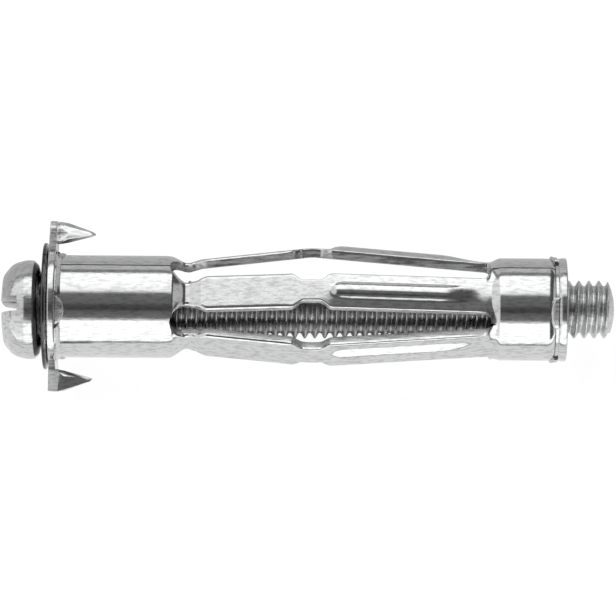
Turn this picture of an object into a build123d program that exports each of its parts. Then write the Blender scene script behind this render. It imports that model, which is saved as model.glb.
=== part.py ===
from build123d import *
import os
from math import atan, cos, degrees, radians, sin

# Metal hollow wall anchor with its machine screw, unset, in millimetres.
# The screw's axis is X, with the head on the -X side and the free thread end on +X.
# X = 0 is the face of the claw plate that lies on the wall, and +Z runs through the middle of one leg.
# Profiles of turned and rolled pieces are drawn as (x, radius) and spun about X.

# Sheet and tube
sheet = 0.95
barrel_radius = 5.13
bore_clearance = 0.05
leg_count = 5

# Flared lip in front of the claw plate
lip_thickness = 0.60
lip_radius = 6.35
lip_edge = 0.08
lip_rim_length = 0.35
lip_back_radius = 5.85

# Front barrel and the step where it necks down to the legs
front_barrel_end = 11.64
step_end_x = 12.66
step_end_radius = 4.55
valley_x = 13.35
valley_radius = 4.45
valley_crown = 0.08

# Legs, drawn lying along +Z
leg_width = 3.65
front_neck_width = 2.40
front_neck_end = 13.95
front_shoulder_end = 15.10
rise_start_x = 14.80
rise_start_radius = 4.84
bend_x = 25.55
bend_radius = 6.02
middle_neck_width = 2.20
middle_neck_length = 1.60
middle_shoulder_length = 1.28
leg_sink = 0.10
leg_end_x = 43.25
leg_end_radius = 4.58
neck_corner_rounding = 0.55

# Keyhole at the front of each slot
keyhole_x = 13.06
keyhole_diameter = 3.25

# Bead pressed outwards along the rear half of each leg
bead_start = 27.60
bead_end = 41.80
bead_width = 1.80
bead_height = 0.32
bead_front_run_out = 0.90
bead_rear_run_out = 4.20

# Nut-end barrel
shoulder_length = 0.95
shoulder_knee_length = 0.30
shoulder_knee_drop = 0.14
sleeve_end = 49.85
rim_length = 0.45
rim_radius = 4.93

# Straight butt seam of the rolled sheet, on a slot's line
seam_width = 0.12
seam_angle = 36.0

# Claw plate
plate_thickness = 0.70
plate_radius = 6.30
plate_clearance = 0.02
plate_bore_bevel = 0.62
ear_reach = 8.50
ear_half_width = 3.30
ear_rounding = 1.00
ear_angles = (72.0, 252.0)
claw_length = 3.70
claw_inner_radius = 6.18
claw_outer_radius = 8.38
claw_tip_radius = 7.12
claw_straight_length = 0.90
claw_tip_width = 0.24

# Crimped ring and stakes that keep the plate against the lip, and the lugs that key the nut in the sleeve
key_count = 4
first_key_angle = -22.0
key_width = 3.30
crimp_length = 0.36
crimp_height = 0.52
crimp_bevel = 0.16
stake_length = 0.95
stake_height = 0.20
notch_depth = 0.52
lug_height = 0.16
lug_clearance = 0.04

# Captive nut
nut_gap = 0.40
collar_gap = 0.35
collar_width = 0.86
collar_radius = 5.17
collar_bevel = 0.12
nut_bore_bevel = 0.40

# Screw, which sags in the sleeve by as much as the nut's clearance lets it
screw_sag = 0.42
sag_direction = 252.0
thread_radius = 2.90
screw_end = 55.90
end_round_radius = 2.67
end_round_length = 0.55
head_gap = 0.10
head_height = 4.16
head_radius = 4.97
head_crown = 0.14
head_corner = 2.17
head_corner_length = 2.30
head_corner_steps = 6
head_foot_length = 0.85
head_foot_depth = 1.15
slot_width = 1.50
slot_depth = 1.80
slot_turn = -9.5
cross_span = 5.40
cross_width = 1.30
cross_depth = 2.60
cross_taper = 12.0

sheet_bore = barrel_radius - sheet
rim_start = sleeve_end - rim_length
nut_radius = sheet_bore - bore_clearance
nut_bore = thread_radius + bore_clearance
nut_start = leg_end_x + shoulder_length + nut_gap
nut_middle = (nut_start + sleeve_end) / 2
collar_start = sleeve_end + collar_gap
collar_end = collar_start + collar_width
plate_front = -plate_thickness
lip_front = plate_front - lip_thickness
head_seat = lip_front - head_gap
head_top = head_seat - head_height
rear_drop = (bend_radius - leg_end_radius) / (leg_end_x - bend_x)


def spin(*outline):
    """A solid of revolution about X from the (x, radius) corners of its half section."""
    return revolve(make_face(Polyline(*outline, close=True)), Axis.X, 360)


def around(shape, angle):
    """The shape turned about X, with +Z turning towards +Y as the angle grows."""
    return shape.rotate(Axis.X, -angle)


def leg_angles():
    return [i * 360 / leg_count for i in range(leg_count)]


def slot_angles():
    return [a + 180 / leg_count for a in leg_angles()]


def key_angles():
    return [first_key_angle + i * 360 / key_count for i in range(key_count)]


def key_outline(x_straight, depth, width):
    """A lens with one straight side at x_straight, whose arc reaches depth along X."""
    ends = [(x_straight, -width / 2), (x_straight, width / 2)]
    arc = ThreePointArc(ends[0], (x_straight + depth, 0), ends[1])
    return make_face([arc, Line(ends[1], ends[0])])


def side_outline():
    """A leg's bent section in the XZ plane, from inside one barrel to inside the other."""
    outer = [
        (front_barrel_end, barrel_radius - leg_sink),
        (step_end_x, step_end_radius),
        (valley_x, valley_radius),
        (rise_start_x, rise_start_radius),
        (bend_x, bend_radius),
        (leg_end_x, leg_end_radius),
        (leg_end_x + shoulder_length, leg_end_radius),
    ]
    inner = [(x, r - sheet) for x, r in outer]
    return make_face(Plane.XZ * Polyline(*outer, *reversed(inner), close=True))


def plan_outline():
    """A leg seen from above, with its front neck and its middle neck."""
    neck_start = bend_x - middle_neck_length / 2
    neck_end = bend_x + middle_neck_length / 2
    upper = [
        (front_barrel_end, front_neck_width / 2),
        (front_neck_end, front_neck_width / 2),
        (front_shoulder_end, leg_width / 2),
        (neck_start - middle_shoulder_length, leg_width / 2),
        (neck_start, middle_neck_width / 2),
        (neck_end, middle_neck_width / 2),
        (neck_end + middle_shoulder_length, leg_width / 2),
        (leg_end_x + shoulder_length, leg_width / 2),
    ]
    lower = [(x, -y) for x, y in reversed(upper)]
    face = make_face(Polyline(*upper, *lower, close=True))
    x_ends = (upper[0][0], upper[-1][0])
    corners = [v for v in face.vertices() if x_ends[0] + 0.01 < v.X < x_ends[1] - 0.01]
    return fillet(corners, neck_corner_rounding)


def bead(depth):
    """A leg's bead: a sunk rod with tapered ends, of which only the back stands out. A depth moves it inwards."""
    back = (bead_width**2 / 4 + bead_height**2) / (2 * bead_height)
    length = bead_end - bead_start
    z = rear_line(bead_start) + bead_height - back - depth
    rod = spin(
        (0, 0),
        (0, back - bead_height),
        (bead_front_run_out, back),
        (length - bead_rear_run_out, back),
        (length, back - bead_height),
        (length, 0),
    )
    return Pos(bead_start, 0, z) * Rot(0, degrees(atan(rear_drop)), 0) * rod


def rear_line(x):
    """The radius of a leg's outer face on its rear half."""
    return bend_radius - rear_drop * (x - bend_x)


def under_leg():
    """The space below the middle of the sheet on a leg's rear half, which keeps a bead's two faces apart."""
    outline = [(x, rear_line(x) - sheet / 2) for x in (bend_x, leg_end_x)]
    section = Plane.XZ * Polyline((bend_x, 0), *outline, (leg_end_x, 0), close=True)
    return extrude(make_face(section), leg_width, both=True)


def leg():
    """One leg along +Z: a bent flat strip with two necks and a bead pressed out of its rear half."""
    strip = extrude(side_outline(), leg_width, both=True)
    strip &= extrude(plan_outline(), bend_radius + sheet)
    strip += bead(0) - under_leg()
    strip -= bead(sheet) & under_leg()
    return strip


def front_barrel():
    """The lip, the tube through the claw plate and the step down to the necks."""
    return spin(
        (lip_front, sheet_bore),
        (lip_front, lip_radius - lip_edge),
        (lip_front + lip_edge, lip_radius),
        (lip_front + lip_rim_length, lip_radius),
        (plate_front, lip_back_radius),
        (plate_front, barrel_radius),
        (front_barrel_end, barrel_radius),
        (step_end_x, step_end_radius),
        (valley_x, valley_radius + valley_crown),
        (valley_x, valley_radius - sheet),
        (step_end_x, step_end_radius - sheet),
        (front_barrel_end, sheet_bore),
    )


def nut_barrel():
    """The tube round the nut, with its round shoulder and its turned-in rim."""
    return spin(
        (leg_end_x, leg_end_radius - sheet),
        (leg_end_x, leg_end_radius),
        (leg_end_x + shoulder_knee_length, barrel_radius - shoulder_knee_drop),
        (leg_end_x + shoulder_length, barrel_radius),
        (rim_start, barrel_radius),
        (sleeve_end, rim_radius),
        (sleeve_end, sheet_bore),
        (leg_end_x + shoulder_length, sheet_bore),
    )


def crimp():
    """The ring pressed out of the barrel behind the claw plate, with a gap for each stake."""
    top = barrel_radius + crimp_height
    ring = spin(
        (0, sheet_bore + sheet / 2),
        (0, top),
        (crimp_length - crimp_bevel, top),
        (crimp_length, top - crimp_bevel),
        (crimp_length, sheet_bore + sheet / 2),
    )
    gap = extrude(key_outline(-sheet, sheet + stake_length, key_width), 2 * barrel_radius)
    for angle in key_angles():
        ring -= around(gap, angle)
    return ring


def stake():
    """A small lens pressed out of the barrel in a gap of the crimped ring, drawn along +Z."""
    block = extrude(key_outline(0, stake_length, key_width), barrel_radius + stake_height)
    return block & spin(
        (-sheet, sheet_bore + sheet / 2),
        (0, barrel_radius + stake_height),
        (stake_length, barrel_radius + stake_height / 2),
        (stake_length, sheet_bore + sheet / 2),
    )


def key_notch():
    """The half-round notch that a nut's lug fits, drawn along +Z."""
    outline = key_outline(sleeve_end, -notch_depth, key_width)
    return extrude(outline, 2 * barrel_radius)


def make_sleeve():
    body = front_barrel() + nut_barrel() + crimp()
    hole = Pos(keyhole_x, 0, 0) * Cylinder(
        keyhole_diameter / 2, 2 * barrel_radius, align=(Align.CENTER, Align.CENTER, Align.MIN)
    )
    for angle in slot_angles():
        body -= around(hole, angle)
    for angle in leg_angles():
        body += around(leg(), angle)
    for angle in key_angles():
        body += around(stake(), angle)
        body -= around(key_notch(), angle)
    seam = Pos(lip_front, 0, 0) * Box(
        sleeve_end - lip_front, seam_width, lip_radius + sheet, align=(Align.MIN, Align.CENTER, Align.MIN)
    )
    return body - around(seam, seam_angle)


def claw():
    """One claw, bent back from the side edge of an ear that points along +Z."""
    outline = Plane.XZ * Polyline(
        (-plate_thickness, claw_inner_radius),
        (-plate_thickness, claw_outer_radius),
        (claw_straight_length, claw_outer_radius),
        (claw_length, claw_tip_radius + claw_tip_width / 2),
        (claw_length, claw_tip_radius - claw_tip_width / 2),
        (claw_straight_length, claw_inner_radius),
        close=True,
    )
    return Pos(0, ear_half_width, 0) * extrude(make_face(outline), plate_thickness)


def ear():
    """An ear along +Z with its claw on the side towards +Y."""
    flat = Plane.YZ * Pos(0, ear_reach / 2) * Rectangle(2 * ear_half_width, ear_reach)
    corners = flat.vertices().sort_by(Axis.Z)[-2:]
    return extrude(fillet(corners, ear_rounding), -plate_thickness) + claw()


def make_claw_plate():
    plate = spin((plate_front, 0), (plate_front, plate_radius), (0, plate_radius), (0, 0))
    for angle in ear_angles:
        plate += around(ear(), angle)
    bore = barrel_radius + plate_clearance
    return plate - spin(
        (plate_front, 0),
        (plate_front, bore),
        (-plate_bore_bevel, bore),
        (0, bore + plate_bore_bevel),
        (0, 0),
    )


def lug():
    """A raised lug on the nut's collar that fills a notch in the sleeve, drawn along +Z."""
    depth = notch_depth - lug_clearance
    width = key_width - 2 * lug_clearance
    outline = key_outline(sleeve_end, -depth, width) + Pos(sleeve_end, 0) * Rectangle(
        collar_start - sleeve_end, width, align=(Align.MIN, Align.CENTER)
    )
    top = barrel_radius + lug_height
    root = nut_radius - sheet
    ring = spin((nut_start, root), (nut_start, top), (collar_start, top), (collar_start, root))
    return extrude(outline, top) & ring


def make_nut():
    nut = spin(
        (nut_start, nut_bore + nut_bore_bevel),
        (nut_start, nut_radius),
        (sleeve_end + lug_clearance, nut_radius),
        (sleeve_end + lug_clearance, rim_radius),
        (collar_start, rim_radius),
        (collar_start, collar_radius - collar_bevel),
        (collar_start + collar_bevel, collar_radius),
        (collar_end - collar_bevel, collar_radius),
        (collar_end, collar_radius - collar_bevel),
        (collar_end, nut_bore + nut_bore_bevel),
        (collar_end - nut_bore_bevel, nut_bore),
        (nut_start + nut_bore_bevel, nut_bore),
    )
    for angle in key_angles():
        nut += around(lug(), angle)
    return nut


def head_outline():
    """The pan head's half section: a slightly raised face, a round corner and a foot that is bevelled twice."""
    crown_edge = (head_top + head_crown, head_radius - head_corner)
    corner = [
        (crown_edge[0] + head_corner_length * (1 - cos(turn)), crown_edge[1] + head_corner * sin(turn))
        for turn in (radians(90 * step / head_corner_steps) for step in range(head_corner_steps + 1))
    ]
    return [
        (head_top, 0),
        *corner,
        (head_seat - head_foot_length, head_radius),
        (head_seat - head_foot_length / 4, head_radius - head_foot_depth / 3),
        (head_seat, head_radius - head_foot_depth),
        (head_seat, 0),
    ]


def shank_outline():
    """The shank's half section, from the head's seat to the bevelled, slightly crowned end."""
    crown_start = screw_end - end_round_length
    return [
        (head_seat, 0),
        (head_seat, thread_radius),
        (crown_start - (thread_radius - end_round_radius), thread_radius),
        (crown_start, end_round_radius),
        (screw_end - end_round_length / 4, end_round_radius / 2),
        (screw_end, 0),
    ]


def make_screw():
    head = spin(*head_outline())
    shank = spin(*shank_outline())
    slot = Pos(head_top, 0, 0) * Box(2 * slot_depth, slot_width, 3 * head_radius)
    face = Plane(origin=(head_top, 0, 0), x_dir=(0, 1, 0), z_dir=(1, 0, 0))
    cross = Rectangle(cross_span, cross_width) + Rectangle(cross_width, cross_span)
    recess = extrude(face * cross, cross_depth, taper=cross_taper)
    screw = head + shank - around(slot, slot_turn) - around(recess, slot_turn)
    return sagged(screw)


def sagged(screw):
    """The screw tilted about the nut's middle, so that its head hangs in the sag's direction."""
    level = around(screw, -sag_direction)
    tilted = level.rotate(Axis((nut_middle, 0, 0), (0, 1, 0)), screw_sag)
    return around(tilted, sag_direction)


def main():
    os.makedirs("parts", exist_ok=True)
    pieces = {
        "sleeve": make_sleeve(),
        "claw_plate": make_claw_plate(),
        "nut": make_nut(),
        "screw": make_screw(),
    }
    for name, piece in pieces.items():
        piece.label = name
        export_step(piece, f"parts/{name}.step")


main()
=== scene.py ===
"""The looks of an unset metal hollow wall anchor: a slit sleeve, a clawed washer, a captive nut and a screw.

Sizes are in millimetres and the finished meshes are in metres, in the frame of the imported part: X runs
along the screw from the head to the free thread, X = 0 is the claw plate's wall face, and a leg is on +Z.
"""

import math

import bmesh
import bpy
import numpy as np
from mathutils import Matrix, Vector


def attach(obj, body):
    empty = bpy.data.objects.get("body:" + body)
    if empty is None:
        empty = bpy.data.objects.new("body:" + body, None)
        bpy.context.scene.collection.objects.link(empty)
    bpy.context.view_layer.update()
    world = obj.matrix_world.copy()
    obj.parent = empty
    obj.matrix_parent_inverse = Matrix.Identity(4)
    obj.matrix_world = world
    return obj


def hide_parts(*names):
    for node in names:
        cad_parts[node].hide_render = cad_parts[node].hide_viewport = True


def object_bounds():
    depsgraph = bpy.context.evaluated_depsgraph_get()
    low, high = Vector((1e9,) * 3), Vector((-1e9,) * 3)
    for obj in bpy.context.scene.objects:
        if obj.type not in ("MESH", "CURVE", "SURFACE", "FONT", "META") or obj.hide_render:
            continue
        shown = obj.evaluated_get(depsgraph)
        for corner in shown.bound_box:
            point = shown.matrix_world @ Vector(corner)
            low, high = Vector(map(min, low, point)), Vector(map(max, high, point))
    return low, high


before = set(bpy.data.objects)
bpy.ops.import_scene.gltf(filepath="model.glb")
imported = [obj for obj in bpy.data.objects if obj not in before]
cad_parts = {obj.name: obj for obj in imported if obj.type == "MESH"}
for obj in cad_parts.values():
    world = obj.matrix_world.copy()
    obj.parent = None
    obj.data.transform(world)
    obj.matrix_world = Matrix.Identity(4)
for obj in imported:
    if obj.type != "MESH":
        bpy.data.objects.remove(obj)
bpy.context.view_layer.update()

MM = 0.001

# How far a cutter or an added form reaches past the face that it meets
overlap = 0.02

# Sleeve: sheet, barrels and the rim at the nut's end
sheet = 0.95
barrel_radius = 5.13
bore_radius = barrel_radius - sheet
seam_half_gap = 0.06
rim_start = 49.42
rim_radius = 4.93
rim_rounding = 0.12
sleeve_end = 49.85

# Sleeve: lip, a flat disc with a thin rim and a hollow back
plate_front = -0.70
lip_front = -1.30
lip_radius = 6.35
lip_rounding = 0.20
lip_rim_middle = lip_front + 0.15
lip_rim_length = 0.35
lip_back_radius = 5.85
lip_back_ring = 5.40
lip_front_rings = (5.60, 4.70)
lip_bore_rounding = 0.30
small_rounding = 0.06

# Sleeve: keyholes and slots
leg_count = 5
sector_half = math.pi / leg_count
keyhole_x = 13.06
keyhole_radius = 1.625
keyhole_run_out = 0.70
slot_start = keyhole_x - keyhole_radius
leg_end_x = 43.40
slot_end_rounding = 0.45
slot_end_power = 2.6

# Sleeve: legs, with a front neck, a middle neck at the bend and a crowned rear half
leg_half_width = 1.825
front_neck_half = 1.35
front_shoulder = (13.85, 15.20)
bend_x = 25.55
middle_neck_half = 1.12
middle_neck_length = 1.60
middle_shoulder_length = 1.28
rear_crown = 0.12
rear_crown_span = (26.0, 28.5)

# Sleeve: roundings of the legs' edges, and the spans along X over which they grow or fade
inner_edge_rounding = 0.06
rear_edge_rounding = 0.13
front_edge_rounding = 0.31
front_edge_grows = (11.8, 12.6)
front_edge_fades = (22.5, 24.5)
edge_grows = (11.5, 12.2)
edge_fades = (leg_end_x - 1.3, leg_end_x - 0.3)

# Sleeve: beads pressed into the legs' rear halves
bead_start = 27.40
bead_end = 42.00
bead_half_width = 0.90
bead_height = 0.34
bead_softness = 0.03
bead_front_run = 1.50
bead_front_stretch = 0.60
bead_fades = (bead_end - 3.7, bead_end + 0.8)

# The spans along X over which the round section goes over to the legs' flat one, and back
unrolling_span = (11.7, 13.0)
rolling_span = (42.8, 44.2)

# The outer face of a leg's middle line, as corners and the rounding of each
leg_line = [
    (0, 5.13), (11.10, 5.13), (11.70, 5.04), (13.06, 4.33),
    (14.55, 4.79), (25.55, 6.02), (43.30, 4.57), (50, 4.57),
]
leg_line_rounding = [0, 2.00, 0.05, 1.15, 1.50, 4.00, 1.00, 0]

# The round envelope that the sleeve is rolled to
envelope_line = [
    (0, 5.13), (11.10, 5.13), (11.70, 5.04), (12.66, 4.57), (13.60, 4.57), (14.60, 5.40),
    (20, 9.00), (38, 9.00), (43.00, 4.75), (43.40, 4.78), (44.35, 5.13), (50, 5.13),
]
envelope_rounding = [0, 2.00, 0.05, 0.45, 0.60, 0, 0, 0, 0.20, 0.50, 1.00, 0]

# Mesh of a sector: columns between a leg's edges, from -1 to 1, and steps round an edge and a keyhole
half_columns = [0.90, 0.78, 0.66, 0.56, 0.493, 0.43, 0.33, 0.22, 0.11]
middle_columns = [-c for c in half_columns] + [0.0] + half_columns[::-1]
corner_steps = 4
arc_steps = 18
closed_spread = 0.16
open_spread = 0.05

# Crimped ring and stakes behind the plate, and notches and lugs at the nut
crimp_length = 0.55
crimp_land = 0.12
crimp_radius = 5.68
crimp_rounding = 0.15
crimp_corner = 0.02
first_key_angle = math.radians(-22)
key_count = 4
key_angles = [first_key_angle + 2 * math.pi * i / key_count for i in range(key_count)]
key_half_width = 1.65
key_centre_share = 0.4
key_edge = [(0.13, 0.0), (0.07, 0.05), (0.03, 0.15), (0.008, 0.28), (0.0, 0.42)]
key_root_radius = 4.40
stake_length = 0.95
stake_height = 0.20
stake_root_radius = 4.60
stake_gap_ends = 0.30
stake_gap_sides = 0.25
stake_gap_radii = (4.0, 7.0)
notch_depth = 0.52
notch_base = 0.50
notch_radii = (3.9, 6.0)
lug_height = 0.22
lug_clearance = 0.04
lug_base = 0.36

# Which faces count as sheared: where the slots' walls are, and how far their normals may turn out or along X
slot_wall_span = (11.3, 44.2)
slot_wall_outward = 0.55
slot_wall_along = 0.97
end_face_zone = 0.70
end_face_along = 0.70
stake_wall_start = barrel_radius + 0.03
cut_margin = 0.02

# Claw plate
plate_radius = 6.30
plate_clearance = 0.02
plate_edge = 0.09
plate_bore_bevel = 0.62
ear_reach = 8.50
ear_half_width = 3.30
ear_rounding = 1.00
ear_lean = 0.15
ear_angles = [math.radians(72), math.radians(252)]

# A claw's outline as (x, radius) corners, and its layers as (depth, inset, dish) from its outer face
claw_root_x = plate_front + 0.05
claw_outline = [
    (claw_root_x, 6.30), (claw_root_x, 8.46), (0.25, 8.52), (0.95, 8.42), (2.2, 7.98), (3.45, 7.52),
    (3.75, 7.30), (3.72, 7.18), (3.3, 7.00), (2.2, 6.72), (0.95, 6.38), (0.25, 6.26),
]
claw_middle = (0.95, 7.40)
claw_root_length = 1.2
claw_inner_depth = 0.06
claw_layers = [
    (0.0, 0.62, 0.30), (0.02, 0.40, 0.18), (0.30, 0.04, 0.0),
    (0.36, 0.0, 0.0), (0.42, 0.04, 0.0), (0.70, 0.42, 0.0),
]
# For each claw: its ear's angle, its lean, and how broad its inner and its outer bevel are
claws = [(ear_angles[0], 0.42, 1.0, 1.0), (ear_angles[1], 0.10, 1.35, 0.3)]

# Nut
nut_start = 44.60
nut_radius = 4.13
nut_bore = 2.95
nut_chamfer = 0.40
nut_neck_x = sleeve_end + 0.03
collar_start = 50.20
collar_end = 51.06
collar_radius = 5.17
collar_slope_length = 0.36
collar_slope_depth = 0.08

# Screw
pitch = 1.0
crest_radius = 2.90
root_radius = 2.36
crest_share = 0.10
flank_share = 0.72
root_softness = 0.35
thread_start = -1.30
screw_end = 55.90
thread_shift = -0.33
nut_middle = 47.225
screw_sag = math.radians(0.42)
sag_direction = math.radians(252)
tip_dome = 6.5

# The screw's head: its outline as (distance behind the top, radius), its foot as (distance before the seat,
# distance inside the head's radius), and the radii of the flat seat's two points
head_seat = -1.40
head_top = -5.56
head_radius = 4.97
head_face = [(0, 0), (0.06, 1.80), (0.26, 3.45), (1.25, 4.62), (2.60, head_radius)]
head_foot = [(0.80, 0.03), (0.36, 0.50), (0.18, 1.20)]
head_seat_radii = (3.0, 2.0)
head_rounding = [0, 9.0, 1.2, 1.8, 1.5, 0.35, 0.70, 0.3, 0, 0]
head_edge = 0.09
slot_width = 1.50
slot_depth = 1.80
slot_turn = math.radians(-9.5)
cross_span = 5.40
cross_width = 1.30
cross_depth = 2.60
cross_top_flare = 0.12
cross_end_taper = 1.10
cross_side_taper = 0.18

# Camera, from the photograph's own frame of 616 by 616 pixels
image_size = 616
focal_px = 4935
camera_distance = 495.0
camera_elevation = math.radians(72)
camera_target_x = 25.20
camera_roll = math.radians(0.41)


def rounded(corners, roundings, steps=7):
    """The points of a polyline whose corners are turned into arcs of the given radii."""
    corners = [np.array(c, float) for c in corners]
    points = [corners[0]]
    for before, corner, after, radius in zip(corners, corners[1:], corners[2:], roundings[1:]):
        a = (before - corner) / np.linalg.norm(before - corner)
        b = (after - corner) / np.linalg.norm(after - corner)
        half_angle = math.acos(np.clip(a @ b, -1, 1)) / 2
        if radius <= 0 or half_angle > 1.5690:
            points.append(corner)
            continue
        back = radius / math.tan(half_angle)
        centre = corner + (a + b) / np.linalg.norm(a + b) * radius / math.sin(half_angle)
        start, end = corner + a * back - centre, corner + b * back - centre
        turn = math.atan2(start[0] * end[1] - start[1] * end[0], start @ end)
        for i in range(steps + 1):
            cosine, sine = math.cos(turn * i / steps), math.sin(turn * i / steps)
            rotated = (start[0] * cosine - start[1] * sine, start[0] * sine + start[1] * cosine)
            points.append(centre + rotated)
    points.append(corners[-1])
    return np.array(points)


leg_points = rounded(leg_line, leg_line_rounding)
envelope_points = rounded(envelope_line, envelope_rounding)


def smooth_step(x, start, end):
    t = min(max((x - start) / (end - start), 0.0), 1.0)
    return t * t * (3 - 2 * t)


def leg_height(x):
    return float(np.interp(x, leg_points[:, 0], leg_points[:, 1]))


def envelope(x):
    return float(np.interp(x, envelope_points[:, 0], envelope_points[:, 1]))


def roll_share(x):
    """How much of the section at x is still a round tube: 1 in the barrels and 0 in the legs."""
    return max(1 - smooth_step(x, *unrolling_span), smooth_step(x, *rolling_span))


def leg_half(x):
    """Half the width of a leg at x, with its necks."""
    width = front_neck_half + (leg_half_width - front_neck_half) * smooth_step(x, *front_shoulder)
    neck_start = bend_x - middle_neck_length / 2
    neck_end = bend_x + middle_neck_length / 2
    into = smooth_step(x, neck_start - middle_shoulder_length, neck_start)
    out = smooth_step(x, neck_end, neck_end + middle_shoulder_length)
    return width - (leg_half_width - middle_neck_half) * (into - out)


def section_half(x):
    """Half the width of a sector at x, and whether the slot is open there."""
    radius = envelope(x)
    full = radius * math.sin(sector_half)
    if x <= slot_start or x >= leg_end_x:
        return full, False
    if x < keyhole_x:
        gap = math.sqrt(max(keyhole_radius**2 - (x - keyhole_x)**2, 0))
        return radius * math.sin(sector_half - gap / radius), True
    if x > leg_end_x - slot_end_rounding:
        along = (x - (leg_end_x - slot_end_rounding)) / slot_end_rounding
        share = (1 - along**slot_end_power)**(1 / slot_end_power)
        return full - (full - leg_half_width) * share, True
    hole = radius * math.sin(sector_half - keyhole_radius / radius)
    near = 1 - smooth_step(x, keyhole_x, keyhole_x + keyhole_run_out)
    return leg_half(x) * (1 - near) + hole * near, True


def edge_rounding(x):
    """The rounding of a leg's outer edges at x, larger on the front half and gone in the barrels."""
    front = smooth_step(x, *front_edge_grows) * (1 - smooth_step(x, *front_edge_fades))
    rounding = rear_edge_rounding + (front_edge_rounding - rear_edge_rounding) * front
    return rounding * smooth_step(x, *edge_grows) * (1 - smooth_step(x, *edge_fades))


def bead_rise(x, u):
    """How far a leg's bead stands out at a point of the leg: an arc with a soft root and soft ends."""
    back = (bead_half_width**2 + bead_height**2) / (2 * bead_height)
    beyond = max(bead_start + bead_front_run - x, 0) * bead_front_stretch
    away = min(math.hypot(beyond, u), back * 0.9)
    rise = math.sqrt(back**2 - away**2) - (back - bead_height)
    rise = (rise + math.sqrt(rise**2 + bead_softness**2)) / 2
    return rise * (1 - smooth_step(x, *bead_fades))


def stations():
    """The places along X at which the sleeve's section is drawn, closer where the form changes.

    Each span has its count of even steps, or None for the quarter circle that ends a slot.
    """
    spans = [
        (0.0, 10.8, 12), (10.8, slot_start, 9), (slot_start, keyhole_x, None), (keyhole_x, 15.3, 26),
        (15.3, 22.9, 16), (22.9, 28.6, 56), (28.6, 40.8, 26), (40.8, leg_end_x - slot_end_rounding, 16),
        (leg_end_x - slot_end_rounding, leg_end_x, None), (leg_end_x, 44.4, 12), (44.4, rim_start, 10),
    ]
    places = []
    for start, end, count in spans:
        if count:
            places += list(np.linspace(start, end, count, endpoint=False))
            continue
        for i in range(arc_steps):
            t = i / arc_steps * math.pi / 2
            share = 1 - math.cos(t) if start < keyhole_x else math.sin(t)
            places.append(start + (end - start) * share)
    return places


def section(x, radius, share, half, rounding, open_slot, seams, inner):
    """One face of a sector's section at x: its (u, v) points from one edge to the other."""
    lower = -half + (seam_half_gap if seams[0] else 0)
    upper = half - (seam_half_gap if seams[1] else 0)
    spread = max(rounding, open_spread) if open_slot else closed_spread
    drop = rounding if open_slot else 0.0
    low, high = lower + spread, upper - spread
    corner = []
    for j in range(corner_steps + 1):
        turn = j / corner_steps * math.pi / 2
        corner.append((spread * (1 - math.cos(turn)), drop * (1 - math.sin(turn))))
    points = [(lower + across, down) for across, down in corner]
    points += [((low + high) / 2 + c * (high - low) / 2, 0.0) for c in middle_columns]
    points += [(upper - across, down) for across, down in corner[::-1]]
    placed = []
    for u, down in points:
        circle = math.sqrt(max(radius**2 - u**2, 0.01))
        crown = rear_crown * smooth_step(x, *rear_crown_span) * (1 - (u / leg_half_width)**2)
        flat = leg_height(x) - (sheet if inner else 0) + crown + bead_rise(x, u)
        v = share * circle + (1 - share) * flat
        placed.append((u, v + down if inner else v - down))
    return placed


def closed_row(outer_point, inner_point, seams):
    """A row where the tube is closed, from an outer and an inner (x, radius): its points, and not open."""
    skins = []
    for (x, radius), inner in ((outer_point, False), (inner_point, True)):
        face = section(x, radius, 1.0, radius * math.sin(sector_half), 0, False, seams, inner)
        skins.append([(x, u, v) for u, v in face])
    return skins[0], skins[1], False


def leg_row(x, seams):
    """A row at x along the barrels and a leg: its outer and inner points, and whether the slot is open."""
    half, is_open = section_half(x)
    share = roll_share(x)
    radius = envelope(x)
    shrink = share * (radius - sheet) / radius + (1 - share)
    outer = section(x, radius, share, half, edge_rounding(x), is_open, seams, False)
    inner = section(x, radius - sheet, share, half * shrink, inner_edge_rounding, is_open, seams, True)
    return [(x, u, v) for u, v in outer], [(x, u, v) for u, v in inner], is_open


def add_grid(faces, first, rows, columns, flip):
    for i in range(rows - 1):
        for j in range(columns - 1):
            a = first + i * columns + j
            quad = (a, a + 1, a + 1 + columns, a + columns)
            faces.append(quad[::-1] if flip else quad)


def add_sector(verts, faces, rows, turn, seams):
    """Adds a sector's outer and inner skins, its walls at the slots and the seam, and its two ends."""
    count, columns = len(rows), len(rows[0][0])
    firsts = []
    for skin in range(2):
        firsts.append(len(verts))
        for row in rows:
            verts += [turned(p, turn) for p in row[skin]]
        add_grid(faces, firsts[skin], count, columns, skin == 1)
    for i in range(count - 1):
        for side, column in enumerate((0, columns - 1)):
            if rows[i][2] or rows[i + 1][2] or seams[side]:
                a, b = (first + i * columns + column for first in firsts)
                quad = (a, a + columns, b + columns, b)
                faces.append(quad[::-1] if side else quad)
    for j in range(columns - 1):
        a, b = (first + j for first in firsts)
        faces.append((a, b, b + 1, a + 1))
        a, b = (first + (count - 1) * columns + j for first in firsts)
        faces.append((a, a + 1, b + 1, b))


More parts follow.
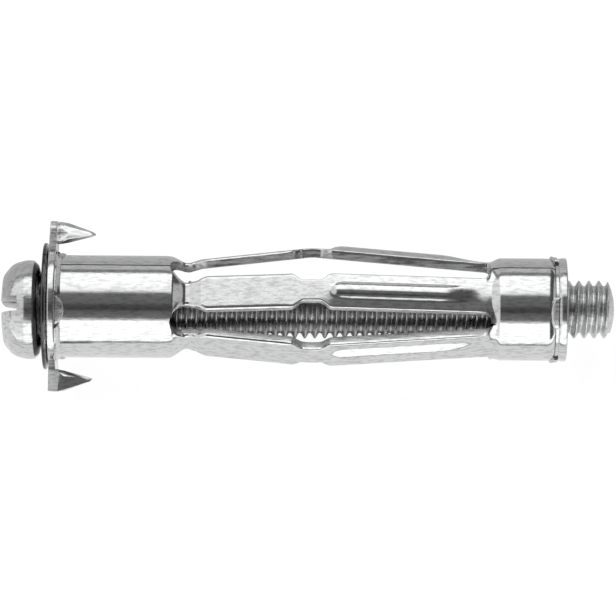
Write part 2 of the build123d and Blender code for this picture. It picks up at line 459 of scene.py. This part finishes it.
def sleeve_mesh():
    """The sleeve as one closed skin: five like sectors, welded where the slots are closed."""
    lip_outer = rounded(
        [(lip_rim_middle, lip_radius), (lip_front + lip_rim_length, lip_radius),
         (plate_front, lip_back_radius), (plate_front, lip_back_ring), (plate_front, barrel_radius),
         (0, barrel_radius)],
        [0, small_rounding, 0, 0, small_rounding, 0], 3)
    lip_inner = rounded(
        [(lip_rim_middle, lip_radius), (lip_front, lip_radius), (lip_front, lip_front_rings[0]),
         (lip_front, lip_front_rings[1]), (lip_front, bore_radius), (0, bore_radius)],
        [0, lip_rounding, 0, 0, lip_bore_rounding, 0], 3)
    rim = rounded([(rim_start, barrel_radius), (sleeve_end, rim_radius), (sleeve_end, bore_radius)],
                  [0, rim_rounding, 0], 3)
    places = stations()
    verts, faces = [], []
    for k in range(leg_count):
        seams = (k == 1, k == 0)
        rows = [closed_row(outer, inner, seams) for outer, inner in zip(lip_outer[:-1], lip_inner[:-1])]
        rows += [leg_row(x, seams) for x in places]
        rows += [closed_row(outer, (outer[0], bore_radius), seams) for outer in rim[:-1]]
        add_sector(verts, faces, rows, 2 * math.pi * k / leg_count, seams)
    return verts, faces


def turned(point, turn):
    """A point of a sector (x, across, out) turned about X, from +Z towards +Y."""
    x, u, v = point
    return (x, u * math.cos(turn) + v * math.sin(turn), v * math.cos(turn) - u * math.sin(turn))


def new_object(name, verts, faces, sharp=32, weld=0.0004):
    """A mesh in metres from points in millimetres, welded, facing outwards and smooth up to an angle."""
    mesh = bpy.data.meshes.new(name)
    mesh.from_pydata([(x * MM, y * MM, z * MM) for x, y, z in verts], [], faces)
    work = bmesh.new()
    work.from_mesh(mesh)
    bmesh.ops.remove_doubles(work, verts=work.verts, dist=weld * MM)
    bmesh.ops.dissolve_degenerate(work, edges=work.edges, dist=weld * MM / 2)
    bmesh.ops.recalc_face_normals(work, faces=work.faces)
    work.to_mesh(mesh)
    work.free()
    obj = bpy.data.objects.new(name, mesh)
    bpy.context.scene.collection.objects.link(obj)
    smooth(obj, sharp)
    return obj


def smooth(obj, sharp):
    for polygon in obj.data.polygons:
        polygon.use_smooth = True
    obj.data.set_sharp_from_angle(angle=math.radians(sharp))


def spin(name, loop, sharp=32, closed=True, segments=144):
    """A closed (x, radius) loop spun about X, or an open one from the axis with a flat face at its end."""
    verts, faces = [], []
    size = len(loop)
    for i in range(segments):
        turn = 2 * math.pi * i / segments
        verts += [turned((x, 0, r), turn) for x, r in loop]
    for i in range(segments):
        here, there = i * size, (i + 1) % segments * size
        for j in range(size if closed else size - 1):
            after = (j + 1) % size
            faces.append((here + j, here + after, there + after, there + j))
    if not closed:
        faces.append([i * size + size - 1 for i in range(segments)])
    return new_object(name, verts, faces, sharp)


def apply_modifier(obj, modifier):
    bpy.context.view_layer.objects.active = obj
    with bpy.context.temp_override(object=obj, active_object=obj, selected_objects=[obj]):
        bpy.ops.object.modifier_apply(modifier=modifier.name)


def boolean(obj, cutter, operation):
    modifier = obj.modifiers.new("cut", "BOOLEAN")
    modifier.object = cutter
    modifier.operation = operation
    modifier.solver = "EXACT"
    apply_modifier(obj, modifier)
    bpy.data.objects.remove(cutter)


def key_shell(name, angle, x_flat, depth, half_width, inside, top, extra=0.0, steps=28):
    """A half-round lens on the barrel: flat at x_flat, bulging along X by depth, between two radii."""
    verts, faces = [], []
    bow = (half_width**2 + depth**2) / (2 * abs(depth))
    reach = math.asin(half_width / bow)
    drop = math.copysign(bow - abs(depth), depth)
    outline = [(x_flat - drop + math.copysign(bow, depth) * math.cos(t), bow * math.sin(t))
               for t in np.linspace(-reach, reach, steps)]
    if extra:
        outline = [(x_flat + extra, -half_width)] + outline + [(x_flat + extra, half_width)]
    centre_x = x_flat + depth * key_centre_share
    rings = [(inside, 0.0)] + [(top - down, inset) for down, inset in key_edge]
    for radius, inset in rings:
        for x, along in outline:
            size = math.hypot(x - centre_x, along)
            keep = (size - inset) / size
            turn = along * keep / barrel_radius
            verts.append(turned((centre_x + (x - centre_x) * keep, 0, radius), angle + turn))
    count = len(outline)
    for k in range(len(rings) - 1):
        for i in range(count):
            a, b = k * count + i, k * count + (i + 1) % count
            faces.append((a, b, b + count, a + count))
    for first in (0, (len(rings) - 1) * count):
        for i in range(count // 2 - 1):
            faces.append((first + i, first + i + 1, first + count - 2 - i, first + count - 1 - i))
    return new_object(name, verts, faces, 25, 0.0002)


def joined(pieces):
    """One object from several that don't meet each other."""
    work = bmesh.new()
    for piece in pieces:
        work.from_mesh(piece.data)
    mesh = bpy.data.meshes.new("joined")
    work.to_mesh(mesh)
    work.free()
    for piece in pieces:
        bpy.data.objects.remove(piece)
    obj = bpy.data.objects.new("joined", mesh)
    bpy.context.scene.collection.objects.link(obj)
    return obj


def outwardness(polygon):
    """How far a face's normal points away from the axis, from -1 to 1, and the face's reach from the axis."""
    x, y, z = polygon.center / MM
    reach = max(math.hypot(y, z), 0.01)
    return (polygon.normal.y * y + polygon.normal.z * z) / reach, reach


def depth_in_sheet(x, y, z):
    """How deep a point of a slot's wall lies in the sheet, from 0 at its outer face to 1 at its inner one."""
    angle = math.atan2(y, z)
    away = angle - round(angle / (2 * sector_half)) * 2 * sector_half
    reach = math.hypot(y, z)
    u, v = reach * math.sin(away), reach * math.cos(away)
    share = roll_share(x)
    face = share * math.sqrt(max(envelope(x)**2 - u**2, 0.01)) + (1 - share) * leg_height(x)
    return min(max((face - v) / sheet, 0.0), 1.0)


def mark_cut_faces(sleeve):
    """Marks the faces that were sheared: 1 where the metal tore, and 0.5 to 1 through a slot's wall."""
    mesh = sleeve.data
    cut = mesh.attributes.new("cut", "FLOAT", "CORNER")
    for polygon in mesh.polygons:
        x = polygon.center.x / MM
        out, reach = outwardness(polygon)
        across = abs(out) < slot_wall_outward and abs(polygon.normal.x) < slot_wall_along
        at_slot = slot_wall_span[0] < x < slot_wall_span[1] and across
        at_end = x > sleeve_end - end_face_zone and polygon.normal.x > end_face_along
        above_barrel = stake_wall_start < reach < barrel_radius + stake_height + cut_margin
        at_stake = 0 < x < stake_length + cut_margin and above_barrel
        for corner in polygon.loop_indices:
            value = 1.0 if at_end or at_stake else 0.0
            if at_slot:
                place = mesh.vertices[mesh.loops[corner].vertex_index].co / MM
                value = 0.5 + 0.5 * depth_in_sheet(*place)
            cut.data[corner].value = value


def make_sleeve():
    verts, faces = sleeve_mesh()
    sleeve = new_object("sleeve_skin", verts, faces, 30)
    notches, stakes, gaps = [], [], []
    for angle in key_angles:
        notches.append(key_shell("notch", angle, sleeve_end + overlap, -notch_depth - overlap,
                                 key_half_width, *notch_radii, notch_base))
        stakes.append(key_shell("stake", angle, -overlap, stake_length, key_half_width,
                                stake_root_radius, barrel_radius + stake_height))
    ring = spin("crimp", rounded(
        [(-overlap, stake_root_radius), (-overlap, crimp_radius), (crimp_land, crimp_radius),
         (crimp_length, barrel_radius), (crimp_length, stake_root_radius)],
        [0, crimp_corner, crimp_rounding, crimp_corner, 0], 4))
    for angle in key_angles:
        gaps.append(key_shell("gap", angle, -stake_gap_ends, stake_length + stake_gap_ends,
                              key_half_width + stake_gap_sides, *stake_gap_radii))
    boolean(ring, joined(gaps), "DIFFERENCE")
    boolean(sleeve, joined(notches), "DIFFERENCE")
    boolean(sleeve, ring, "UNION")
    boolean(sleeve, joined(stakes), "UNION")
    smooth(sleeve, 30)
    mark_cut_faces(sleeve)
    return sleeve


def make_nut():
    loop = rounded(
        [(nut_start, nut_bore + nut_chamfer), (nut_start, nut_radius), (nut_neck_x, nut_radius),
         (nut_neck_x, rim_radius), (collar_start, rim_radius),
         (collar_start, collar_radius - collar_slope_depth),
         (collar_start + collar_slope_length, collar_radius), (collar_end, collar_radius),
         (collar_end, nut_bore + nut_chamfer), (collar_end - nut_chamfer, nut_bore),
         (nut_start + nut_chamfer, nut_bore), (nut_start, nut_bore + nut_chamfer)],
        [0, 0.2, 0, 0.03, 0.06, 0.10, 0.2, 0.14, 0.05, 0, 0, 0], 4)
    nut = spin("nut_body", loop[:-1])
    lugs = []
    for angle in key_angles:
        lugs.append(key_shell("lug", angle, sleeve_end, lug_clearance - notch_depth,
                              key_half_width - lug_clearance, key_root_radius,
                              barrel_radius + lug_height, lug_base))
    boolean(nut, joined(lugs), "UNION")
    smooth(nut, 30)
    cut = nut.data.attributes.new("cut", "FLOAT", "FACE")
    for polygon in nut.data.polygons:
        x, y, z = polygon.center / MM
        on_lug = x < collar_start and math.hypot(y, z) > barrel_radius + cut_margin
        cut.data[polygon.index].value = 1.0 if on_lug else 0.0
    return nut


def thread_radius_at(x, turn):
    """The radius of a right-hand 60 degree thread with a flat crest and a round root."""
    phase = ((x - thread_shift - pitch * turn / (2 * math.pi)) / pitch) % 1.0
    away = abs(phase - 0.5) * 2
    share = min(max((away - crest_share) / flank_share, 0), 1)
    share = share * share * (3 - 2 * share) * root_softness + share * (1 - root_softness)
    radius = crest_radius - (crest_radius - root_radius) * share
    dome = math.sqrt(max(tip_dome**2 - max(x - screw_end + tip_dome, 0)**2, 0.0001))
    return min(radius, dome)


def make_thread():
    around, per_pitch = 72, 14
    rows = int((screw_end - thread_start) / pitch * per_pitch)
    verts, faces = [], []
    for i in range(rows + 1):
        x = thread_start + (screw_end - thread_start) * i / rows
        for j in range(around):
            turn = 2 * math.pi * j / around
            verts.append(turned((x, 0, thread_radius_at(x, turn)), turn))
    for i in range(rows):
        for j in range(around):
            a, b = i * around + j, i * around + (j + 1) % around
            faces.append((a, b, b + around, a + around))
    centre = len(verts)
    verts += [(thread_start, 0, 0), (screw_end, 0, 0)]
    for j in range(around):
        faces.append((centre, (j + 1) % around, j))
        faces.append((centre + 1, rows * around + j, rows * around + (j + 1) % around))
    thread = new_object("screw_thread", verts, faces, 60)
    sag(thread)
    return thread


def sag(piece):
    """Tilts a piece of the screw about the nut's middle, as the CAD model has it, so that its head hangs."""
    centre = Vector((nut_middle * MM, 0, 0))
    down = Vector((0, math.sin(sag_direction), math.cos(sag_direction)))
    tilt = Matrix.Rotation(screw_sag, 4, Vector((1, 0, 0)).cross(-down))
    piece.data.transform(Matrix.Translation(centre) @ tilt @ Matrix.Translation(-centre))


def prism(name, ends, turn):
    """A block between two (x, half width, half height) ends, turned about X."""
    verts = []
    for x, wide, half in ends:
        verts += [turned((x, s * wide, e * half), turn) for s in (-1, 1) for e in (-1, 1)]
    faces = [(0, 1, 3, 2), (4, 6, 7, 5), (0, 4, 5, 1), (2, 3, 7, 6), (0, 2, 6, 4), (1, 5, 7, 3)]
    return new_object(name, verts, faces, 30)


def recess_cutters():
    """The slot, and the tapered cross as two crossed wedges that close in towards the bottom."""
    above, floor = (head_top - 1, slot_width / 2, 6), (head_top + slot_depth, slot_width / 2, 6)
    cutters = [prism("slot", [above, floor], slot_turn)]
    top = (head_top - 0.5, cross_width / 2, cross_span / 2 + cross_top_flare)
    bottom = (head_top + cross_depth, cross_width / 2 - cross_side_taper, cross_span / 2 - cross_end_taper)
    for k in range(2):
        cutters.append(prism("wedge", [top, bottom], slot_turn + k * math.pi / 2))
    return cutters


def make_head():
    corners = [(head_top + x, radius) for x, radius in head_face]
    corners += [(head_seat - x, head_radius - inside) for x, inside in head_foot]
    corners += [(head_seat, radius) for radius in head_seat_radii]
    head = spin("screw_head", rounded(corners, head_rounding, 8), 30, closed=False)
    for cutter in recess_cutters():
        boolean(head, cutter, "DIFFERENCE")
    bevel = head.modifiers.new("bevel", "BEVEL")
    bevel.width = head_edge * MM
    bevel.segments = 3
    bevel.limit_method = "ANGLE"
    bevel.angle_limit = math.radians(40)
    apply_modifier(head, bevel)
    smooth(head, 35)
    mark_slot_walls(head)
    sag(head)
    return head


def mark_slot_walls(head):
    """Marks the walls of the slot and the cross, which are duller than the rest of the head."""
    cut = head.data.attributes.new("cut", "FLOAT", "FACE")
    for polygon in head.data.polygons:
        out, reach = outwardness(polygon)
        inside = polygon.center.x / MM < head_top + cross_depth + 0.1 and reach < head_radius - cut_margin
        cut.data[polygon.index].value = 1.0 if inside and polygon.normal.x > -0.3 and out < 0.5 else 0.0


def plate_outline():
    """The plate's outline as (angle, reach) corners: a disc with two round-cornered ears."""
    half = math.asin(ear_half_width / plate_radius)
    corner = ear_half_width - ear_rounding
    shoulder = ear_reach - ear_rounding
    side = [(ear_half_width, r) for r in np.linspace(plate_radius * math.cos(half), shoulder, 7)]
    for t in np.linspace(0, math.pi / 2, 9)[1:]:
        side.append((corner + ear_rounding * math.cos(t), shoulder + ear_rounding * math.sin(t)))
    top = [(u, ear_reach) for u in np.linspace(corner, 0, 6)[1:]]
    ear = [(-u, v) for u, v in side + top] + [(u, v) for u, v in (side + top[:-1])[::-1]]
    points = []
    for ear_angle in ear_angles:
        points += [(ear_angle + math.atan2(u, v), math.hypot(u, v)) for u, v in ear]
        for t in np.linspace(0, 1, 46)[1:-1]:
            points.append((ear_angle + half + (math.pi - 2 * half) * t, plate_radius))
    return points


def make_plate():
    """The washer: rings of one outline, with broken edges, a bevelled bore and ears that lean back a little.

    Each ring has its x, and either its inset from the outline or, with None, its distance outside the bore.
    """
    outline = plate_outline()
    bore = barrel_radius + plate_clearance
    corner = plate_edge * 0.3
    rings = [
        (0.0, None, plate_bore_bevel), (0.0, plate_edge, 0), (-corner, corner, 0), (-plate_edge, 0.0, 0),
        (plate_front + plate_edge, 0.0, 0), (plate_front + corner, corner, 0), (plate_front, plate_edge, 0),
        (plate_front, None, 0.0), (-plate_bore_bevel, None, 0.0),
    ]
    verts, faces = [], []
    for x, inset, outside in rings:
        for angle, reach in outline:
            radius = bore + outside if inset is None else reach - inset
            lean = ear_lean * max(radius - plate_radius, 0) / (ear_reach - plate_radius)
            verts.append(turned((x + lean, 0, radius), angle))
    size = len(outline)
    for k in range(len(rings)):
        here, there = k * size, (k + 1) % len(rings) * size
        for i in range(size):
            after = (i + 1) % size
            faces.append((here + i, here + after, there + after, there + i))
    return new_object("claw_plate_disc", verts, faces, 35)


def make_claw(ear_angle, lean, inner_bevel, outer_bevel):
    """A claw bent back from an ear's side: a pointed blade, coined to broad bevels on both faces."""
    middle_x, middle_r = claw_middle
    verts, faces = [], []
    for depth, inset, dish in claw_layers:
        for x, r in claw_outline:
            size = math.hypot(x - middle_x, r - middle_r)
            near_root = min(max((x - plate_front) / claw_root_length, 0), 1)
            bevel = inner_bevel if r < middle_r else outer_bevel
            keep = 1 - inset * near_root * bevel / size
            out = (r - middle_r) * keep
            across = ear_half_width + depth * (0.5 + 0.5 * near_root) + dish * 0.1 + lean * out
            verts.append(turned((middle_x + (x - middle_x) * keep, across, middle_r + out), ear_angle))
    size = len(claw_outline)
    for k in range(len(claw_layers) - 1):
        for i in range(size):
            a, b = k * size + i, k * size + (i + 1) % size
            faces.append((a, b, b + size, a + size))
    verts.append(turned((middle_x, ear_half_width - claw_inner_depth, middle_r), ear_angle))
    for i in range(size):
        faces.append((i, (i + 1) % size, len(verts) - 1))
    last = (len(claw_layers) - 1) * size
    faces.append((last, last + 1, last + 2, last + size - 1))
    faces.append([last + i for i in range(2, size)])
    return new_object("claw", verts, faces, 22)


def make_claw_plate():
    plate = make_plate()
    blades = [make_claw(*claw) for claw in claws]
    work = bmesh.new()
    for piece in [plate] + blades:
        work.from_mesh(piece.data)
    work.to_mesh(plate.data)
    work.free()
    cut = plate.data.attributes.new("cut", "FLOAT", "FACE")
    for polygon in plate.data.polygons:
        x, y, z = polygon.center / MM
        on_ear = math.hypot(y, z) > plate_radius + 0.05 and abs(polygon.normal.x) < 0.9 and x < 0.2
        cut.data[polygon.index].value = 1.0 if on_ear else 0.0
    for blade in blades:
        bpy.data.objects.remove(blade)
    return plate


# Textures of the metal: scales in cycles a metre, and shares of them along X for marks that run lengthwise
streak_scale = 4200.0
scratch_scale = 5200.0
cloud_scale = 1500.0
grain_scale = 4200.0
torn_scale = 3600.0
streak_share = 0.28
torn_share = 0.10
torn_relief = 10.0
relief_depth = 0.00002
# Where along X, in metres, the legs' extra grain grows and where it weakens, and to what share
grain_grows = (0.0128, 0.0142)
grain_weakens = (0.0270, 0.0310)
rear_grain_share = 0.25
# The marks of sheared faces, from where the metal is cut at all to where it has torn
sheared_marks = (0.30, 0.45)
fractured_marks = (0.62, 0.70)


def noise(nodes, links, vector, scale, detail):
    texture = nodes.new("ShaderNodeTexNoise")
    texture.inputs["Scale"].default_value = scale
    texture.inputs["Detail"].default_value = detail
    links.new(vector, texture.inputs["Vector"])
    return texture.outputs["Fac"]


def remap(nodes, links, value, low, high, start=0.0, end=1.0, kind="SMOOTHSTEP"):
    step = nodes.new("ShaderNodeMapRange")
    step.interpolation_type = kind
    step.inputs["From Min"].default_value = low
    step.inputs["From Max"].default_value = high
    step.inputs["To Min"].default_value = start
    step.inputs["To Max"].default_value = end
    links.new(value, step.inputs["Value"])
    return step.outputs["Result"]


def feed(links, sockets, values):
    """Gives each socket its value: a number is set on it, and an output is linked to it."""
    for socket, value in zip(sockets, values):
        if isinstance(value, float):
            socket.default_value = value
        else:
            links.new(value, socket)


def combine(nodes, links, kind, first, second):
    step = nodes.new("ShaderNodeMath")
    step.operation = kind
    feed(links, step.inputs, (first, second))
    return step.outputs[0]


def blend(nodes, links, share, first, second):
    step = nodes.new("ShaderNodeMix")
    feed(links, (step.inputs["Factor"], step.inputs["A"], step.inputs["B"]), (share, first, second))
    return step.outputs["Result"]


def stretched(nodes, links, place, length_share):
    """Coordinates drawn out along X, so that a texture's marks run along the piece."""
    mapping = nodes.new("ShaderNodeMapping")
    mapping.inputs["Scale"].default_value = (length_share, 1.0, 1.0)
    links.new(place, mapping.inputs["Vector"])
    return mapping.outputs["Vector"]


def tinted(level):
    """A metal's colour of about the given brightness, a trace colder than grey."""
    return (level, level * 1.004, level * 1.01, 1)


def zinc(name, light, dark, roughness, bump, cut_roughness, shade_share=None, shade_span=None, leg_grain=None):
    """Bright zinc plating: streaks along the piece, fine scratches, cloudy gloss and fine grain.

    Faces marked as cut are streaky, and rougher from a third of the way into the sheet. Between the two
    places of the shade span along X the colour is painted darker, a painted shade, and leg_grain is the
    strength of extra grain on the legs.
    """
    material = bpy.data.materials.new(name)
    material.use_nodes = True
    nodes, links = material.node_tree.nodes, material.node_tree.links
    shader = nodes["Principled BSDF"]
    shader.inputs["Metallic"].default_value = 1.0
    place = nodes.new("ShaderNodeTexCoord").outputs["Object"]
    split = nodes.new("ShaderNodeSeparateXYZ")
    links.new(place, split.inputs["Vector"])
    x = split.outputs["X"]

    along = stretched(nodes, links, place, streak_share)
    tint = nodes.new("ShaderNodeMix")
    tint.data_type = "RGBA"
    tint.inputs["A"].default_value = tinted(dark)
    tint.inputs["B"].default_value = tinted(light)
    streaks = noise(nodes, links, along, streak_scale, 5.0)
    links.new(remap(nodes, links, streaks, 0.34, 0.56), tint.inputs["Factor"])
    colour = tint.outputs["Result"]
    # Painted shade: between the span's two places along X the colour is blended to a darker grey that stands
    # in for shade
    if shade_span:
        start, end = shade_span
        painted_shade = nodes.new("ShaderNodeMix")
        painted_shade.data_type = "RGBA"
        painted_shade.inputs["B"].default_value = (dark * shade_share, dark * shade_share, dark * shade_share, 1)
        inside = combine(nodes, links, "MULTIPLY", remap(nodes, links, x, start, start + shade_border),
                         remap(nodes, links, x, end - shade_border, end, 1.0, 0.0))
        links.new(inside, painted_shade.inputs["Factor"])
        links.new(colour, painted_shade.inputs["A"])
        colour = painted_shade.outputs["Result"]
    links.new(colour, shader.inputs["Base Color"])

    clouds = noise(nodes, links, place, cloud_scale, 4.0)
    gloss = remap(nodes, links, clouds, 0.3, 0.7, roughness * 0.7, roughness * 1.35)
    height = noise(nodes, links, along, scratch_scale, 3.0)
    if leg_grain:
        legs = combine(nodes, links, "MULTIPLY", remap(nodes, links, x, *grain_grows),
                       remap(nodes, links, x, *grain_weakens, 1.0, rear_grain_share))
        grain = noise(nodes, links, place, grain_scale, 2.0)
        height = combine(nodes, links, "ADD", height, combine(
            nodes, links, "MULTIPLY", grain, combine(nodes, links, "MULTIPLY", legs, leg_grain)))
    cut = nodes.new("ShaderNodeAttribute")
    cut.attribute_name = "cut"
    sheared = remap(nodes, links, cut.outputs["Fac"], *sheared_marks)
    fractured = remap(nodes, links, cut.outputs["Fac"], *fractured_marks)
    torn = noise(nodes, links, stretched(nodes, links, place, torn_share), torn_scale, 3.0)
    streaky = remap(nodes, links, torn, 0.40, 0.60, cut_roughness * 0.5, cut_roughness * 1.5)
    gloss = combine(nodes, links, "ADD", gloss, combine(nodes, links, "MULTIPLY", fractured, streaky))
    height = combine(nodes, links, "ADD", height, combine(
        nodes, links, "MULTIPLY", torn, combine(nodes, links, "MULTIPLY", sheared, torn_relief)))
    links.new(gloss, shader.inputs["Roughness"])
    relief = nodes.new("ShaderNodeBump")
    relief.inputs["Strength"].default_value = bump
    relief.inputs["Distance"].default_value = relief_depth
    links.new(height, relief.inputs["Height"])
    links.new(relief.outputs["Normal"], shader.inputs["Normal"])
    return material


def finish_piece(piece, body, node, material):
    piece.data.materials.clear()
    piece.data.materials.append(material)
    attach(piece, body)
    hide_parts(node)


# In metres: where the colour is painted darker as painted shade: the lip's front, for the dark gap under the
# screw's head, and the screw inside the sleeve, where little light reaches
shade_border = 0.0001
lip_shade_span = (-0.0020, -0.0009)
inside_shade_span = (0.0020, 0.0445)

# sleeve_zinc paints shade on the lip's front, and screw_zinc paints shade on the screw inside the sleeve
sleeve_zinc = zinc("sleeve_zinc", 0.68, 0.52, 0.10, 0.15, 0.36, 0.18, lip_shade_span, 1.3)
plate_zinc = zinc("plate_zinc", 0.66, 0.52, 0.14, 0.30, 0.42)
nut_zinc = zinc("nut_zinc", 0.66, 0.50, 0.12, 0.25, 0.25)
head_zinc = zinc("head_zinc", 0.64, 0.46, 0.18, 0.50, 0.25)
screw_zinc = zinc("screw_zinc", 0.64, 0.46, 0.29, 0.50, 0.25, 0.96, inside_shade_span)

finish_piece(make_sleeve(), "anchor", "sleeve", sleeve_zinc)
finish_piece(make_claw_plate(), "anchor", "claw_plate", plate_zinc)
finish_piece(make_nut(), "anchor", "nut", nut_zinc)
finish_piece(make_head(), "screw", "screw", head_zinc)
finish_piece(make_thread(), "screw", "screw", screw_zinc)

viewer = Vector((0, -math.cos(camera_elevation), math.sin(camera_elevation)))
image_up = Vector((0, math.sin(camera_elevation), math.cos(camera_elevation)))


def make_camera():
    data = bpy.data.cameras.new("camera")
    data.sensor_width = 36.0
    data.lens = focal_px / image_size * data.sensor_width
    data.clip_start = 0.01
    camera = bpy.data.objects.new("camera", data)
    bpy.context.scene.collection.objects.link(camera)
    place = Vector((camera_target_x, 0, 0)) * MM + viewer * camera_distance * MM
    turn = viewer.to_track_quat("Z", "Y").to_matrix().to_4x4()
    camera.matrix_world = Matrix.Translation(place) @ turn @ Matrix.Rotation(camera_roll, 4, "Z")
    bpy.context.scene.camera = camera


def level_curve(nodes, links, value, low, high, stops):
    """Brightness along a value, through (value, level) stops."""
    place = remap(nodes, links, value, low, high, kind="LINEAR")
    curve_node = nodes.new("ShaderNodeFloatCurve")
    curve = curve_node.mapping.curves[0]
    peak = max(level for _, level in stops)
    while len(curve.points) < len(stops):
        curve.points.new(0.5, 0.5)
    for point, (stop, level) in zip(curve.points, stops):
        point.location = ((stop - low) / (high - low), level / peak)
        point.handle_type = "VECTOR"
    curve_node.mapping.update()
    links.new(place, curve_node.inputs["Value"])
    return combine(nodes, links, "MULTIPLY", curve_node.outputs["Value"], float(peak))


# The floor, in metres: half its size, its grey, and how bright the camera sees it
floor_half = 1.5
floor_grey = (0.30, 0.30, 0.30, 1)
floor_seen = 0.86

# The table under the anchor, as the metal sees it: brightness by the distance in metres behind the axis
table_half = 0.20
table = [
    (-table_half, 1.6), (-0.046, 1.6), (-0.043, 0.35), (-0.034, 0.35), (-0.030, 0.92),
    (0.0, 0.92), (0.006, 0.60), (0.06, 0.50), (table_half, 0.60),
]


def make_floor():
    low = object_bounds()[0][2]
    mesh = bpy.data.meshes.new("floor")
    corners = [(x * floor_half, y * floor_half, low) for x, y in ((-1, -1), (1, -1), (1, 1), (-1, 1))]
    mesh.from_pydata(corners, [], [(0, 1, 2, 3)])
    floor = bpy.data.objects.new("floor", mesh)
    bpy.context.scene.collection.objects.link(floor)
    material = bpy.data.materials.new("floor_white")
    material.use_nodes = True
    nodes, links = material.node_tree.nodes, material.node_tree.links
    nodes.clear()
    out = nodes.new("ShaderNodeOutputMaterial")
    paper = nodes.new("ShaderNodeBsdfDiffuse")
    paper.inputs["Color"].default_value = floor_grey
    glow = nodes.new("ShaderNodeEmission")
    rays = nodes.new("ShaderNodeLightPath")
    split = nodes.new("ShaderNodeSeparateXYZ")
    links.new(nodes.new("ShaderNodeNewGeometry").outputs["Position"], split.inputs["Vector"])
    seen = level_curve(nodes, links, split.outputs["Y"], -table_half, table_half, table)
    links.new(blend(nodes, links, rays.outputs["Is Camera Ray"], seen, floor_seen), glow.inputs["Strength"])
    either = nodes.new("ShaderNodeMixShader")
    both = nodes.new("ShaderNodeAddShader")
    links.new(paper.outputs[0], both.inputs[0])
    links.new(glow.outputs[0], both.inputs[1])
    links.new(rays.outputs["Is Glossy Ray"], either.inputs["Fac"])
    links.new(both.outputs[0], either.inputs[1])
    links.new(glow.outputs[0], either.inputs[2])
    links.new(either.outputs[0], out.inputs["Surface"])
    mesh.materials.append(material)


# The studio round the anchor: brightness by the angle in degrees about its axis, from the photograph's camera
# towards the top of the picture (positive) and towards the bottom (negative). The first has the dark space
# round the camera, and the second is the same studio to its left and right.
studio = [
    (-180, 0.60), (-110, 0.60), (-104, 2.00), (-33, 2.20), (-25, 0.26), (-12, 0.20), (-6, 0.08),
    (4, 0.12), (8, 0.20), (30, 0.24), (37, 1.60), (50, 1.90), (80, 2.00),
    (84, 0.32), (91, 0.32), (94, 0.80), (106, 0.80), (110, 0.60), (180, 0.60),
]
studio_sides = [
    (-180, 0.60), (-110, 0.60), (-104, 1.40), (-30, 1.30), (0, 0.95), (30, 1.20), (80, 1.40),
    (84, 0.32), (91, 0.32), (94, 0.80), (106, 0.80), (110, 0.60), (180, 0.60),
]
# Where along X, to either side, the first goes over to the second
side_span = (0.34, 0.48)
# What stands beyond the studio's ends: where along X it starts and is full, and its brightness
studio_ends = [(0.24, 0.34, 0.13), (0.60, 0.70, 0.74), (0.88, 0.93, 0.10), (-0.90, -0.98, 0.60)]


def make_world():
    world = bpy.data.worlds.new("studio")
    bpy.context.scene.world = world
    world.use_nodes = True
    nodes, links = world.node_tree.nodes, world.node_tree.links
    nodes.clear()
    out = nodes.new("ShaderNodeOutputWorld")
    place = nodes.new("ShaderNodeTexCoord").outputs["Generated"]
    parts = []
    for direction in (image_up, viewer):
        dot = nodes.new("ShaderNodeVectorMath")
        dot.operation = "DOT_PRODUCT"
        dot.inputs[1].default_value = direction
        links.new(place, dot.inputs[0])
        parts.append(dot.outputs["Value"])
    angle = combine(nodes, links, "MULTIPLY", combine(nodes, links, "ARCTAN2", *parts), 180 / math.pi)
    split = nodes.new("ShaderNodeSeparateXYZ")
    links.new(place, split.inputs["Vector"])
    along = split.outputs["X"]
    sideways = combine(nodes, links, "MAXIMUM", along, combine(nodes, links, "MULTIPLY", along, -1.0))
    middle = level_curve(nodes, links, angle, -180, 180, studio)
    sides = level_curve(nodes, links, angle, -180, 180, studio_sides)
    level = blend(nodes, links, remap(nodes, links, sideways, *side_span), middle, sides)
    for start, full, brightness in studio_ends:
        level = blend(nodes, links, remap(nodes, links, along, start, full), level, brightness)
    light = nodes.new("ShaderNodeBackground")
    links.new(level, light.inputs["Strength"])
    white = nodes.new("ShaderNodeBackground")
    rays = nodes.new("ShaderNodeLightPath")
    mix = nodes.new("ShaderNodeMixShader")
    links.new(rays.outputs["Is Camera Ray"], mix.inputs["Fac"])
    links.new(light.outputs[0], mix.inputs[1])
    links.new(white.outputs[0], mix.inputs[2])
    links.new(mix.outputs[0], out.inputs["Surface"])


make_camera()
make_floor()
make_world()
bpy.context.scene.view_settings.view_transform = "Standard"
